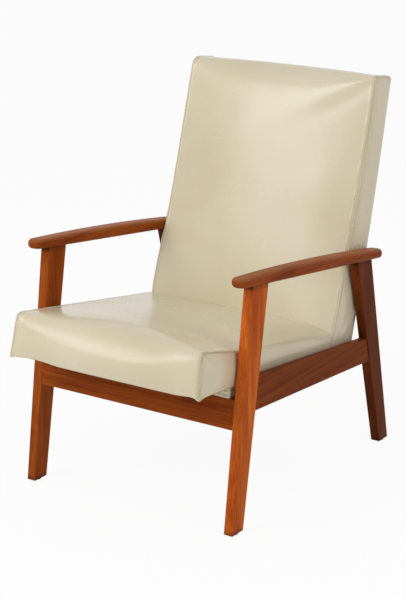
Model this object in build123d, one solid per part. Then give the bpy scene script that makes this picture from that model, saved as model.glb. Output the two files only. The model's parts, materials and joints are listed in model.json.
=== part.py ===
from build123d import *
import os
from math import cos, hypot, radians, sin, tan

os.makedirs("parts", exist_ok=True)

# Wooden frame, mm and degrees; Y is 0 midway between the feet while building, the chair faces -Y
frame_width = 600.0
foot_spread = 743.0
leg_thickness = 25.0
leg_edge_radius = 2.5
foot_chamfer = 1.5
front_foot_depth = 45.5
front_leg_front_lean = 7.8
front_leg_rear_lean = 9.9
back_foot_depth = 44.5
back_leg_front_lean = 15.3
back_leg_rear_lean = 12.7

arm_height = 541.5
arm_slope = 7.1
arm_width = 40.0
arm_thickness = 29.5
arm_end_thickness = 22.0
arm_edge_radius = 9.5
arm_front_overhang = 53.0
arm_rear_overhang = 51.0

base_height = 316.5
base_slope = 5.14
side_rail_rise = 14.5
side_rail_depth = 71.0
side_rail_top_slope = 5.9
side_rail_bottom_slope = 3.9
side_rail_thickness = 20.0
rail_edge_radius = 2.0

front_rail_drop = 0.5
front_rail_depth = 71.0
front_rail_thickness = 22.0
front_rail_setback = 1.5
rear_rail_front = 190.0
rear_rail_depth = 50.0
rear_rail_thickness = 22.0

# Joints of the wooden frame
dowel_diameter = 10.0
dowel_clearance = 0.2
dowel_end_gap = 1.0
dowel_chamfer = 1.0
arm_dowel_spacing = 30.0
arm_dowel_in_arm = 15.0
arm_dowel_in_leg = 35.0
rail_dowel_spacing = 32.0
side_dowel_in_leg = 25.0
side_dowel_in_rail = 30.0
cross_dowel_spacing = 30.0
cross_dowel_in_side = 14.0
cross_dowel_in_rail = 30.0
block_width = 45.0
block_length = 31.0
block_height = 40.0

# Glides under the feet
glide_diameter = 20.0
glide_height = 3.0
glide_edge_radius = 1.0
glide_nail_diameter = 3.0
glide_nail_length = 18.0
glide_nail_clearance = 0.2

# Upholstered unit: seat and back in one
cushion_gap = 9.0
vinyl_thickness = 1.5
lining_thickness = 1.0
fitting_clearance = 0.5
foam_clearance = 0.6
hem_width = 25.0
bearer_setback = 3.0
bearer_depth = 42.0
bearer_end_inset = 8.0

seat_front_y = -452.0
seat_front_rise = 39.5
seat_front_lean = 7.4
seat_top_rise = 56.5
seat_pitch = 10.7
crease_gap = 1.5
back_front_y = 118.0
back_front_rise = 38.5
back_front_lean = 17.65
back_rear_y = 231.0
back_rear_rise = -2.5
back_rear_lean = 14.6
back_top_rise = 682.5
back_top_slope = 8.0
small_corner_radius = 6.0

# Soft form at the side seam and in the middle: how far the top is lowered, the front drawn back,
# the edges rolled and the faces bowed
seat_drop = (1.0, -13.0)
seat_draw = (1.0, -5.0)
seat_roll = (9.0, 36.0)
seat_top_bow = (2.0, 4.0)
seat_front_bow = (3.0, 5.0)
back_drop = (3.0, -4.0)
back_draw = (16.0, -5.0)
back_roll = (14.0, 26.0)
back_front_bow = (-13.0, -2.0)

# Seat frame and springs
seat_side_thickness = 30.0
seat_frame_height = 22.0
seat_front_member_depth = 36.0
seat_front_pad = 1.0
spring_rail_depth = 32.0
seat_dowel_diameter = 8.0
seat_dowel_spacing = 16.0
seat_dowel_reach = 20.0
spring_count = 5
spring_side_gap = 4.0
spring_wire = 3.6
spring_bends = 21
spring_bar = 32.0
spring_end_inset = 16.0
clip_width = 16.0
clip_reach = 12.0
clip_lip = 5.0
clip_wall = 1.5
clip_clearance = 0.3
clip_nail_offset = 7.5
clip_nail_diameter = 2.0
clip_nail_length = 15.0
insulator_thickness = 1.5
insulator_margin = 12.0
insulator_rear_margin = 6.0

# Back frame
stile_thickness = 30.0
stile_depth = 36.0
board_thickness = 3.0
back_frame_top_inset = 30.0
top_rail_depth = 46.0
lower_rail_height = 105.0
lower_rail_depth = 46.0
strap_count = 6
strap_width = 50.0
strap_thickness = 2.2
strap_end_margin = 40.0
strap_edge_inset = 4.0
bracket_thickness = 3.0
bracket_foot_length = 70.0
bracket_foot_height = 18.0
bracket_post_height = 90.0
bracket_post_width = 28.0

# Screws and tacks: shank, head across, head height
small_screw = (4.0, 8.0, 2.4)
unit_screw = (5.0, 10.0, 3.2)
bracket_screw = (4.0, 7.5, 2.0)
tack = (1.6, 7.0, 0.8)
strap_tack = (1.6, 6.0, 0.8)
clip_nail = (clip_nail_diameter, 5.0, 1.0)
shank_clearance = 0.2
screw_end_gap = 1.0
block_screw_bite = 14.0
block_screw_lift = 8.0
unit_screw_bite = 15.0
unit_screw_setback = 12.0
washer_diameter = 15.0
washer_thickness = 1.4
bracket_screw_length = 18.0
bracket_screw_margin = 12.0
bracket_low_screw_rise = 24.0
tack_length = 10.0
tack_inset = 15.0
tack_margin = 22.0
side_tack_count = 6
front_tack_count = 5
strap_tack_length = 9.0
strap_tack_spread = 28.0
cut_reach = 1500.0

inner_x = frame_width / 2 - leg_thickness
leg_mid_x = frame_width / 2 - leg_thickness / 2
rail_inner_x = leg_mid_x - side_rail_thickness / 2
rail_outer_x = leg_mid_x + side_rail_thickness / 2
cushion_x = inner_x - cushion_gap
frame_x = cushion_x - vinyl_thickness - fitting_clearance
seat_side_inner_x = frame_x - seat_side_thickness
stile_inner_x = frame_x - stile_thickness
bearer_half_length = cushion_x - bearer_end_inset
unit_screw_x = frame_x - seat_side_thickness / 2
spring_pitch = 2 * (seat_side_inner_x - spring_side_gap) / spring_count
side_rail_top_height = base_height + side_rail_rise
side_rail_bottom_height = side_rail_top_height - side_rail_depth
front_rail_top = base_height - front_rail_drop


# Lines of the side view: an edge is y = a + b z, a level is z = h + k y
def edge_from(y, z, lean):
    return (y - z * tan(radians(lean)), tan(radians(lean)))


def level_from(height, slope):
    return (height, -tan(radians(slope)))


def edge_y(edge, z):
    return edge[0] + edge[1] * z


def level_z(level, y):
    return level[0] + level[1] * y


def behind(edge, distance):
    return (edge[0] + distance * hypot(1, edge[1]), edge[1])


def above(level, distance):
    return (level[0] + distance * hypot(1, level[1]), level[1])


def meet(edge, level):
    z = (level[0] + level[1] * edge[0]) / (1 - level[1] * edge[1])
    return (edge_y(edge, z), z)


def four_sided(front, rear, bottom, top):
    return [meet(front, bottom), meet(rear, bottom), meet(rear, top), meet(front, top)]


floor_level = (glide_height, 0.0)
front_leg_front = edge_from(-foot_spread / 2, 0, front_leg_front_lean)
front_leg_rear = edge_from(-foot_spread / 2 + front_foot_depth, 0, front_leg_rear_lean)
back_leg_front = edge_from(foot_spread / 2 - back_foot_depth, 0, -back_leg_front_lean)
back_leg_rear = edge_from(foot_spread / 2, 0, -back_leg_rear_lean)
arm_level = level_from(arm_height, arm_slope)
side_top = level_from(side_rail_top_height, side_rail_top_slope)
side_bottom = level_from(side_rail_bottom_height, side_rail_bottom_slope)
front_rail_front = behind(front_leg_front, front_rail_setback)
front_rail_rear = behind(front_rail_front, front_rail_thickness)
front_rail_top_level = (front_rail_top, 0.0)

base = level_from(base_height, base_slope)
hem_level = above(base, -vinyl_thickness)
rest_level = above(hem_level, -lining_thickness)
frame_top = above(base, seat_frame_height)
seat_top = level_from(base_height + seat_top_rise, seat_pitch)
seat_front = edge_from(seat_front_y, base_height + seat_front_rise, seat_front_lean)
back_front = edge_from(back_front_y, base_height + back_front_rise, back_front_lean)
back_rear = edge_from(back_rear_y, base_height + back_rear_rise, back_rear_lean)
back_top = level_from(base_height + back_top_rise, back_top_slope)

skin_gap = vinyl_thickness + fitting_clearance
frame_front = behind(seat_front, max(seat_draw) + skin_gap + seat_front_pad)
seat_rear = behind(back_front, min(back_draw) - crease_gap)
board_rear = behind(back_rear, -skin_gap)
stile_rear = behind(board_rear, -board_thickness)
stile_front = behind(stile_rear, -stile_depth)
strap_front = behind(stile_front, -strap_thickness)
stile_top = above(back_top, -back_frame_top_inset)
rear_rail_face = (rear_rail_front, 0.0)
rear_rail_back = (rear_rail_front + rear_rail_thickness, 0.0)


# Solids made from outlines of the side view
def side_prism(points, x_start, x_end):
    outline = make_face(Polyline(*points, close=True))
    return extrude(Plane.YZ.offset(x_start) * outline, x_end - x_start)


def mirrored(shape):
    return mirror(shape, about=Plane.YZ)


def long_edges(shape, least):
    return shape.edges().filter_by(lambda edge: edge.length > least)


def group(shapes):
    return Compound(children=[solid for shape in shapes for solid in shape.solids()])


def both_sides(shapes):
    return shapes + [mirrored(shape) for shape in shapes]


def bored(shape, cutters):
    for cutter in cutters:
        shape = shape - cutter
    return shape


# Pins along the local Z of a place
def peg(place, diameter, back, ahead, chamfer_size=0.0):
    pin = Cylinder(diameter / 2, back + ahead)
    if chamfer_size:
        pin = chamfer(pin.edges().filter_by(GeomType.CIRCLE), chamfer_size)
    return place * Pos(0, 0, (ahead - back) / 2) * pin


def dowel(place, back, ahead, diameter=dowel_diameter):
    return peg(place, diameter, back, ahead, dowel_chamfer)


def dowel_hole(place, back, ahead, diameter=dowel_diameter):
    return peg(place, diameter + dowel_clearance, back + dowel_end_gap, ahead + dowel_end_gap)


def screw(place, sizes, length):
    shank, head, head_height = sizes
    return peg(place, shank, 0, length) + peg(place, head, head_height, 0)


def screw_hole(place, sizes, length):
    return peg(place, sizes[0] + shank_clearance, sizes[2], length + screw_end_gap)


def facing(point, direction):
    across = (0, 1, 0) if direction[0] else (1, 0, 0)
    return Plane(origin=point, x_dir=across, z_dir=direction).location


# Places on the sloping levels, with local Y running to the rear and local Z square to the level
def on_level(level, slope, x, y):
    return Pos(x, y, level_z(level, y)) * Rot(-slope, 0, 0)


# Wooden frame
def leg(front, rear):
    points = four_sided(front, rear, floor_level, arm_level)
    board = side_prism(points, inner_x, frame_width / 2)
    board = fillet(long_edges(board, arm_height / 2), leg_edge_radius)
    return chamfer(board.faces().sort_by(Axis.Z)[0].edges(), foot_chamfer)


def arm_ends():
    front = meet(front_leg_front, arm_level)[0] - arm_front_overhang * cos(radians(arm_slope))
    rear = meet(back_leg_rear, arm_level)[0] + arm_rear_overhang * cos(radians(arm_slope))
    return front, rear


# The armrest has half-round ends and is thickest in the middle, flat below and cambered above
def arm_profile(length):
    half = length / 2
    camber = ThreePointArc((-half, arm_end_thickness), (0, arm_thickness), (half, arm_end_thickness))
    base_line = Polyline((-half, arm_end_thickness), (-half, 0), (half, 0), (half, arm_end_thickness))
    return make_face(Wire([*camber.edges(), *base_line.edges()]))


def armrest():
    front, rear = arm_ends()
    length = (rear - front) / cos(radians(arm_slope))
    plan = extrude(Rot(0, 0, 90) * SlotOverall(length, arm_width), arm_thickness)
    board = plan & extrude(Plane.YZ.offset(-arm_width) * arm_profile(length), 2 * arm_width)
    rims = board.edges().filter_by(Axis.Z, reverse=True)
    board = fillet(rims, arm_edge_radius)
    return on_level(arm_level, arm_slope, leg_mid_x, (front + rear) / 2) * board


def side_rail():
    points = four_sided(front_leg_rear, back_leg_front, side_bottom, side_top)
    board = side_prism(points, rail_inner_x, rail_outer_x)
    return fillet(long_edges(board, side_rail_top_height), rail_edge_radius)


def front_rail():
    bottom = (front_rail_top - front_rail_depth, 0.0)
    points = four_sided(front_rail_front, front_rail_rear, bottom, front_rail_top_level)
    board = side_prism(points, -inner_x, inner_x)
    return fillet(long_edges(board, inner_x), rail_edge_radius)


def rear_rail():
    bottom = above(rest_level, -rear_rail_depth)
    points = four_sided(rear_rail_face, rear_rail_back, bottom, rest_level)
    return side_prism(points, -rail_inner_x, rail_inner_x)


front_block_bottom = (front_rail_top - block_height, 0.0)
rear_block_bottom = (level_z(rest_level, rear_rail_front) - block_height, 0.0)


def front_block():
    rear = (edge_y(front_rail_rear, front_rail_top) + block_length, 0.0)
    points = four_sided(front_rail_rear, rear, front_block_bottom, front_rail_top_level)
    return side_prism(points, inner_x - block_width, inner_x)


def rear_block():
    front = (rear_rail_front - block_length, 0.0)
    points = four_sided(front, rear_rail_face, rear_block_bottom, rest_level)
    return side_prism(points, rail_inner_x - block_width, rail_inner_x)


def glide(place):
    foot = Cylinder(glide_diameter / 2, glide_height, align=(Align.CENTER, Align.CENTER, Align.MIN))
    foot = fillet(foot.edges().sort_by(Axis.Z)[0], glide_edge_radius)
    nail = peg(Pos(0, 0, glide_height), glide_nail_diameter, 0, glide_nail_length)
    return place * (foot + nail)


def glide_hole(place):
    bore = glide_nail_diameter + glide_nail_clearance
    return peg(place * Pos(0, 0, glide_height), bore, glide_height, glide_nail_length + screw_end_gap)


def foot_place(front, rear):
    return Pos(leg_mid_x, (edge_y(front, glide_height) + edge_y(rear, glide_height)) / 2, 0)


# Places of the dowels in the wooden frame
def arm_dowel_places(front, rear):
    middle = (meet(front, arm_level)[0] + meet(rear, arm_level)[0]) / 2
    place = on_level(arm_level, arm_slope, leg_mid_x, middle)
    return [place * Pos(0, side * arm_dowel_spacing / 2, 0) for side in (-1, 1)]


def side_dowel_places(edge):
    low = meet(edge, side_bottom)[1]
    high = meet(edge, side_top)[1]
    heights = [(low + high) / 2 + side * rail_dowel_spacing / 2 for side in (-1, 1)]
    return [facing((leg_mid_x, edge_y(edge, z), z), (0, 1, -edge[1])) for z in heights]


def cross_dowel_places(x, front, rear, middle):
    heights = [middle + side * cross_dowel_spacing / 2 for side in (-1, 1)]
    return [facing((x, (edge_y(front, z) + edge_y(rear, z)) / 2, z), (1, 0, 0)) for z in heights]


front_arm_pegs = arm_dowel_places(front_leg_front, front_leg_rear)
back_arm_pegs = arm_dowel_places(back_leg_front, back_leg_rear)
front_side_pegs = side_dowel_places(front_leg_rear)
back_side_pegs = side_dowel_places(back_leg_front)
front_cross_pegs = cross_dowel_places(
    inner_x, front_rail_front, front_rail_rear, front_rail_top - front_rail_depth / 2
)
rear_cross_pegs = cross_dowel_places(
    rail_inner_x,
    rear_rail_face,
    rear_rail_back,
    level_z(rest_level, rear_rail_front + rear_rail_thickness / 2) - rear_rail_depth / 2,
)

arm_dowels = [dowel(p, arm_dowel_in_leg, arm_dowel_in_arm) for p in front_arm_pegs + back_arm_pegs]
arm_holes = [dowel_hole(p, arm_dowel_in_leg, arm_dowel_in_arm) for p in front_arm_pegs + back_arm_pegs]
side_dowels = [dowel(p, side_dowel_in_leg, side_dowel_in_rail) for p in front_side_pegs]
side_dowels += [dowel(p, side_dowel_in_rail, side_dowel_in_leg) for p in back_side_pegs]
side_holes = [dowel_hole(p, side_dowel_in_leg, side_dowel_in_rail) for p in front_side_pegs]
side_holes += [dowel_hole(p, side_dowel_in_rail, side_dowel_in_leg) for p in back_side_pegs]
front_dowels = [dowel(p, cross_dowel_in_rail, cross_dowel_in_side) for p in front_cross_pegs]
front_holes = [dowel_hole(p, cross_dowel_in_rail, cross_dowel_in_side) for p in front_cross_pegs]
rear_dowels = [dowel(p, cross_dowel_in_rail, cross_dowel_in_side) for p in rear_cross_pegs]
rear_holes = [dowel_hole(p, cross_dowel_in_rail, cross_dowel_in_side) for p in rear_cross_pegs]


# Soft forms: a rounded outline at each station across the chair, joined by a smooth loft
def rounded_corner(before, corner, after, radius):
    point = Vector(*corner)
    to_before = (Vector(*before) - point).normalized()
    to_after = (Vector(*after) - point).normalized()
    half = radians(to_before.get_angle(to_after)) / 2
    bisector = (to_before + to_after).normalized()
    reach = radius / tan(half)
    middle = point + bisector * (radius / sin(half) - radius)
    return point + to_before * reach, middle, point + to_after * reach


def bowed_middle(start, end, bow):
    span = end - start
    outward = Vector(-span.Y, span.X).normalized()
    return (start + end) / 2 + outward * bow


def soft_section(x, corners, radii, bows):
    count = len(corners)
    rounds = [
        rounded_corner(corners[i - 1], corners[i], corners[(i + 1) % count], radii[i]) for i in range(count)
    ]
    edges = []
    for i in range(count):
        start, middle, end = [(x, p.X, p.Y) for p in rounds[i]]
        edges.append(ThreePointArc(start, middle, end))
        leave, arrive = rounds[i][2], rounds[(i + 1) % count][0]
        if bows[i] is None:
            edges.append(Line((x, leave.X, leave.Y), (x, arrive.X, arrive.Y)))
        else:
            peak = bowed_middle(leave, arrive, bows[i])
            edges.append(ThreePointArc((x, leave.X, leave.Y), (x, peak.X, peak.Y), (x, arrive.X, arrive.Y)))
    return Face(Wire(edges))


def station_places(inset):
    half = cushion_x - inset
    return [(-half, 0), (0.0, 1), (half, 0)]


def corner_radius(radius, inset):
    return max(radius - inset, small_corner_radius / 2)


# Corners run from the front bottom up the front, over the top and down the rear
def seat_section(x, station, inset):
    front = behind(seat_front, seat_draw[station] + inset)
    rear = behind(back_front, back_draw[station] - crease_gap - inset)
    top = above(seat_top, -seat_drop[station] - inset)
    bottom = above(hem_level, inset)
    corners = [meet(front, bottom), meet(front, top), meet(rear, top), meet(rear, bottom)]
    radii = [corner_radius(r, inset) for r in (small_corner_radius, seat_roll[station])]
    radii += [corner_radius(small_corner_radius, inset)] * 2
    return soft_section(x, corners, radii, [seat_front_bow[station], seat_top_bow[station], None, None])


def back_section(x, station, inset):
    front = behind(back_front, back_draw[station] + inset)
    rear = behind(back_rear, -inset)
    top = above(back_top, -back_drop[station] - inset)
    bottom = above(hem_level, inset)
    corners = [meet(front, bottom), meet(front, top), meet(rear, top), meet(rear, bottom)]
    radii = [corner_radius(r, inset) for r in (small_corner_radius, back_roll[station])]
    radii += [corner_radius(small_corner_radius, inset)] * 2
    return soft_section(x, corners, radii, [back_front_bow[station], None, None, None])


def soft_form(section, inset):
    return loft([section(x, station, inset) for x, station in station_places(inset)])


def across_slab(x_start, x_end):
    size = x_end - x_start
    return Pos((x_start + x_end) / 2, 0, 0) * Box(size, 2 * cut_reach, 2 * cut_reach)


# Space behind an edge line or below a level, right across the chair
def space_behind(edge, half_x):
    far = (edge[0] + cut_reach, edge[1])
    return side_prism(four_sided(edge, far, (-cut_reach, 0.0), (cut_reach, 0.0)), -half_x, half_x)


def space_between(front, rear, bottom, top, half_x):
    return side_prism(four_sided(front, rear, bottom, top), -half_x, half_x)


def space_below(level):
    return space_between((-cut_reach, 0.0), (cut_reach, 0.0), (-cut_reach, 0.0), level, cut_reach)


seat_outer = soft_form(seat_section, 0.0)
seat_inner = soft_form(seat_section, vinyl_thickness)
back_outer = soft_form(back_section, 0.0)
back_inner = soft_form(back_section, vinyl_thickness)
foam_inset = vinyl_thickness + foam_clearance


# Seat frame
def seat_side():
    points = four_sided(frame_front, stile_rear, base, frame_top)
    return side_prism(points, seat_side_inner_x, frame_x)


def seat_front_member():
    rear = behind(frame_front, seat_front_member_depth)
    points = four_sided(frame_front, rear, base, frame_top)
    return side_prism(points, -seat_side_inner_x, seat_side_inner_x)


spring_rail_rear = behind(seat_rear, -skin_gap)
spring_rail_front = behind(spring_rail_rear, -spring_rail_depth)


def spring_rail():
    points = four_sided(spring_rail_front, spring_rail_rear, base, frame_top)
    return side_prism(points, -seat_side_inner_x, seat_side_inner_x)


def member_middle(front, rear):
    y = (meet(front, base)[0] + meet(rear, frame_top)[0]) / 2
    return y, (level_z(base, y) + level_z(frame_top, y)) / 2


def seat_dowel_places():
    front_middle = member_middle(frame_front, behind(frame_front, seat_front_member_depth))
    rear_middle = member_middle(spring_rail_front, spring_rail_rear)
    places = []
    for y, z in (front_middle, rear_middle):
        for side in (-1, 1):
            offset = side * seat_dowel_spacing / 2
            point = (seat_side_inner_x, y + offset, z + offset * base[1])
            places.append(facing(point, (1, 0, 0)))
    return places


seat_pegs = seat_dowel_places()
thin_dowel = (seat_dowel_reach, seat_dowel_reach, seat_dowel_diameter)
seat_dowels = [dowel(p, *thin_dowel) for p in seat_pegs]
seat_dowel_holes = [dowel_hole(p, *thin_dowel) for p in seat_pegs]

# Springs run along the top of the seat frame
spring_front_y = meet(frame_front, frame_top)[0] + spring_end_inset
spring_rear_y = meet(spring_rail_rear, frame_top)[0] - spring_end_inset
spring_length = (spring_rear_y - spring_front_y) / cos(radians(base_slope))
spring_columns = [(i - (spring_count - 1) / 2) * spring_pitch for i in range(spring_count)]
wire_height = spring_wire / 2


def spring_path():
    step = spring_length / spring_bends
    half = spring_bar / 2
    edges = [Line((-half, 0, wire_height), (half, 0, wire_height))]
    for bend in range(spring_bends):
        side = half if bend % 2 == 0 else -half
        bulge = side + (step / 2 if side > 0 else -step / 2)
        start = (side, bend * step, wire_height)
        middle = (bulge, (bend + 0.5) * step, wire_height)
        end = (side, (bend + 1) * step, wire_height)
        edges.append(ThreePointArc(start, middle, end))
        edges.append(Line(end, (-side, (bend + 1) * step, wire_height)))
    return Wire(edges)


def spring():
    path = spring_path()
    return sweep(Plane(origin=path @ 0, z_dir=path % 0) * Circle(spring_wire / 2), path=path)


def spring_place(x):
    return on_level(frame_top, base_slope, x, spring_front_y)


def clip(outward):
    height = spring_wire + clip_wall
    length = clip_reach + clip_lip
    body = Pos(0, outward * (clip_reach - clip_lip) / 2, height / 2) * Box(clip_width, length, height)
    wire_line = facing((0, 0, wire_height), (1, 0, 0))
    return body - peg(wire_line, spring_wire + clip_clearance, clip_width, clip_width)


def clip_nail_place(outward):
    return facing((0, outward * clip_nail_offset, spring_wire + clip_wall), (0, 0, -1))


one_spring = spring()
front_clip = clip(-1)
rear_clip = clip(1)
rear_clip_shift = Pos(0, spring_length, 0)
springs = [spring_place(x) * one_spring for x in spring_columns]
clip_nail_places = []
clips = []
for column in spring_columns:
    clip_nail_places.append(spring_place(column) * clip_nail_place(-1))
    clip_nail_places.append(spring_place(column) * rear_clip_shift * clip_nail_place(1))
    clips.append(spring_place(column) * front_clip)
    clips.append(spring_place(column) * rear_clip_shift * rear_clip)
clip_nails = [screw(place, clip_nail, clip_nail_length) for place in clip_nail_places]
clip_nail_holes = [screw_hole(place, clip_nail, clip_nail_length) for place in clip_nail_places]
clips = [bored(one, clip_nail_holes) for one in clips]

insulator_bottom = above(frame_top, spring_wire + clip_wall + clip_nail[2])
insulator_top = above(insulator_bottom, insulator_thickness)


def insulator():
    front = behind(frame_front, insulator_margin)
    rear = behind(spring_rail_rear, -insulator_rear_margin)
    return space_between(front, rear, insulator_bottom, insulator_top, frame_x - insulator_margin)


def seat_foam():
    form = soft_form(seat_section, foam_inset)
    return form - space_below(insulator_top)


# Back frame
def stile():
    points = four_sided(stile_front, stile_rear, frame_top, stile_top)
    return side_prism(points, stile_inner_x, frame_x)


def back_rail(bottom, top):
    return side_prism(four_sided(stile_front, stile_rear, bottom, top), -stile_inner_x, stile_inner_x)


top_rail_bottom = above(stile_top, -top_rail_depth)
lower_rail_bottom = above(frame_top, lower_rail_height)
lower_rail_top = above(lower_rail_bottom, lower_rail_depth)


def back_dowel_places():
    places = []
    for bottom, top in ((top_rail_bottom, stile_top), (lower_rail_bottom, lower_rail_top)):
        low = meet(stile_front, bottom)
        high = meet(stile_rear, top)
        for side in (-1, 1):
            z = (low[1] + high[1]) / 2 + side * seat_dowel_spacing / 2
            y = (edge_y(stile_front, z) + edge_y(stile_rear, z)) / 2
            places.append(facing((stile_inner_x, y, z), (1, 0, 0)))
    return places


back_pegs = back_dowel_places()
back_dowels = [dowel(p, *thin_dowel) for p in back_pegs]
back_dowel_holes = [dowel_hole(p, *thin_dowel) for p in back_pegs]

strap_low = meet(stile_front, lower_rail_bottom)[1] + strap_end_margin
strap_high = meet(stile_front, stile_top)[1] - strap_end_margin
strap_heights = [strap_low + i * (strap_high - strap_low) / (strap_count - 1) for i in range(strap_count)]


def strap(height):
    half = strap_width / 2 * cos(radians(back_rear_lean))
    bottom = (height - half, 0.0)
    top = (height + half, 0.0)
    return space_between(strap_front, stile_front, bottom, top, frame_x - strap_edge_inset)


def strap_tack_places():
    places = []
    for height in strap_heights:
        for side in (-1, 1):
            z = height + side * strap_tack_spread / 2
            point = (frame_x - stile_thickness / 2, edge_y(strap_front, z), z)
            places.append(facing(point, (0, 1, -back_rear[1])))
    return places


strap_places = strap_tack_places()
strap_tacks = [screw(p, strap_tack, strap_tack_length) for p in strap_places]
strap_tack_holes = [screw_hole(p, strap_tack, strap_tack_length) for p in strap_places]
foam_rear = behind(strap_front, -strap_tack[2])


def back_foam():
    form = soft_form(back_section, foam_inset)
    above_frame = above(stile_top, fitting_clearance)
    far = (foam_rear[0] + cut_reach, foam_rear[1])
    form = form - space_between(foam_rear, far, (-cut_reach, 0.0), above_frame, cut_reach)
    return form - space_below(above(frame_top, fitting_clearance))


def back_board():
    return space_between(stile_rear, board_rear, above(frame_top, fitting_clearance), stile_top, frame_x)


# Brackets that join the back frame to the seat frame
bracket_outer_x = min(seat_side_inner_x, stile_inner_x)
bracket_inner_x = bracket_outer_x - bracket_thickness


def bracket():
    rear = behind(stile_rear, -(stile_depth - bracket_post_width) / 2)
    front = behind(rear, -bracket_post_width)
    foot_front = (edge_y(rear, base_height) - bracket_foot_length, 0.0)
    foot_bottom = above(frame_top, -bracket_foot_height)
    post_top = above(frame_top, bracket_post_height)
    outlines = [four_sided(foot_front, rear, foot_bottom, frame_top)]
    outlines.append(four_sided(front, rear, foot_bottom, post_top))
    foot, post = [side_prism(points, bracket_inner_x, bracket_outer_x) for points in outlines]
    return foot + post


def bracket_screw_places():
    rear = behind(stile_rear, -stile_depth / 2)
    foot_z_level = above(frame_top, -bracket_foot_height / 2)
    rises = (bracket_post_height - bracket_screw_margin, bracket_low_screw_rise)
    points = [meet(rear, above(frame_top, rise)) for rise in rises]
    foot_rear_y = edge_y(rear, base_height)
    foot_front_y = foot_rear_y - bracket_foot_length + bracket_low_screw_rise
    points += [(y, level_z(foot_z_level, y)) for y in (foot_rear_y, foot_front_y)]
    return [facing((bracket_inner_x, y, z), (1, 0, 0)) for y, z in points]


bracket_places = bracket_screw_places()
bracket_screws = [screw(p, bracket_screw, bracket_screw_length) for p in bracket_places]
bracket_holes = [screw_hole(p, bracket_screw, bracket_screw_length) for p in bracket_places]


# Bearer and lining under the unit
bearer_front = (edge_y(front_rail_front, front_rail_top) + bearer_setback, 0.0)
bearer_rear = (bearer_front[0] + bearer_depth, 0.0)


def bearer():
    return space_between(bearer_front, bearer_rear, front_rail_top_level, rest_level, bearer_half_length)


def bearer_wrap():
    front = behind(bearer_front, -vinyl_thickness)
    half = bearer_half_length + vinyl_thickness
    strip = space_between(front, bearer_rear, front_rail_top_level, rest_level, half)
    return strip - space_behind(bearer_front, bearer_half_length)


def lining():
    return space_between(frame_front, stile_rear, rest_level, hem_level, frame_x)


# Long screws up through the corner blocks into the seat frame
def unit_screw_place(block_bottom, y):
    z = level_z(block_bottom, y) - washer_thickness
    return Pos(unit_screw_x, y, z)


front_unit_y = edge_y(front_rail_rear, front_rail_top) + unit_screw_setback
rear_unit_y = rear_rail_front - unit_screw_setback
unit_places = [unit_screw_place(front_block_bottom, front_unit_y)]
unit_places.append(unit_screw_place(rear_block_bottom, rear_unit_y))
unit_tops = [level_z(base, place.position.Y) + unit_screw_bite for place in unit_places]
unit_lengths = [top - place.position.Z for top, place in zip(unit_tops, unit_places)]
unit_screws = [screw(p, unit_screw, length) for p, length in zip(unit_places, unit_lengths)]
unit_holes = [screw_hole(p, unit_screw, length) for p, length in zip(unit_places, unit_lengths)]


def washer(place):
    disc = peg(place, washer_diameter, 0, washer_thickness)
    return bored(disc, unit_holes)


unit_washers = [washer(place) for place in unit_places]


# Screws that hold the corner blocks
def block_screw_places():
    front_mid_z = front_rail_top - block_height / 2
    front_rear_y = edge_y(front_rail_rear, front_rail_top) + block_length
    rear_front_y = rear_rail_front - block_length
    rear_mid_z = level_z(rest_level, rear_front_y) - block_height / 2
    lift = block_screw_lift
    front_x = inner_x - block_width
    rear_x = rail_inner_x - block_width
    return [
        facing((front_x + lift, front_rear_y, front_mid_z + lift), (0, -1, 0)),
        facing((front_x, front_rear_y - lift, front_mid_z - lift), (1, 0, 0)),
        facing((rear_x + lift, rear_front_y, rear_mid_z + lift), (0, 1, 0)),
        facing((rear_x, rear_front_y + lift, rear_mid_z - lift), (1, 0, 0)),
    ]


block_places = block_screw_places()
block_lengths = [block_length + block_screw_bite, block_width + block_screw_bite] * 2
block_screws = [screw(p, small_screw, n) for p, n in zip(block_places, block_lengths)]
block_holes = [screw_hole(p, small_screw, n) for p, n in zip(block_places, block_lengths)]


# Tacks through the lining and hem into the seat frame
def tack_places():
    first = bearer_rear[0] + tack_margin
    last = rear_rail_front - block_length - tack_margin
    side_x = frame_x - tack_inset
    places = []
    for i in range(side_tack_count):
        y = first + i * (last - first) / (side_tack_count - 1)
        places += [(side_x, y), (-side_x, y)]
    front_y = meet(frame_front, base)[0] + tack_inset
    for i in range(front_tack_count):
        x = (i - (front_tack_count - 1) / 2) * 2 * seat_side_inner_x / front_tack_count
        places.append((x, front_y))
    upward = (0, -rest_level[1], 1)
    return [facing((x, y, level_z(rest_level, y)), upward) for x, y in places]


hem_places = tack_places()
tacks = [screw(p, tack, tack_length) for p in hem_places]
tack_holes = [screw_hole(p, tack, tack_length) for p in hem_places]


# Covers: skins of the soft forms with a hem below, split into their sewn panels
def side_member_space():
    top = above(frame_top, fitting_clearance)
    points = four_sided((-cut_reach, 0.0), (cut_reach, 0.0), base, top)
    return side_prism(points, seat_side_inner_x - fitting_clearance, cushion_x - vinyl_thickness)


def seat_skin():
    opening_front = behind(seat_front, hem_width)
    opening_rear = behind(seat_rear, -hem_width)
    opening = space_between(opening_front, opening_rear, (0.0, 0.0), base, cushion_x - hem_width)
    right = side_member_space()
    rear_only = space_behind(spring_rail_rear, cushion_x)
    slots = (right + mirrored(right)) & rear_only
    return seat_outer - seat_inner - opening - slots


def back_skin():
    opening = space_between((-cut_reach, 0.0), (cut_reach, 0.0), (0.0, 0.0), base, cushion_x - hem_width)
    right = side_member_space()
    return back_outer - back_inner - (opening & back_inner_below()) - right - mirrored(right)


def back_inner_below():
    front = behind(back_front, max(back_draw) + vinyl_thickness)
    rear = behind(back_rear, -vinyl_thickness)
    return space_between(front, rear, (0.0, 0.0), base, cushion_x)


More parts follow.
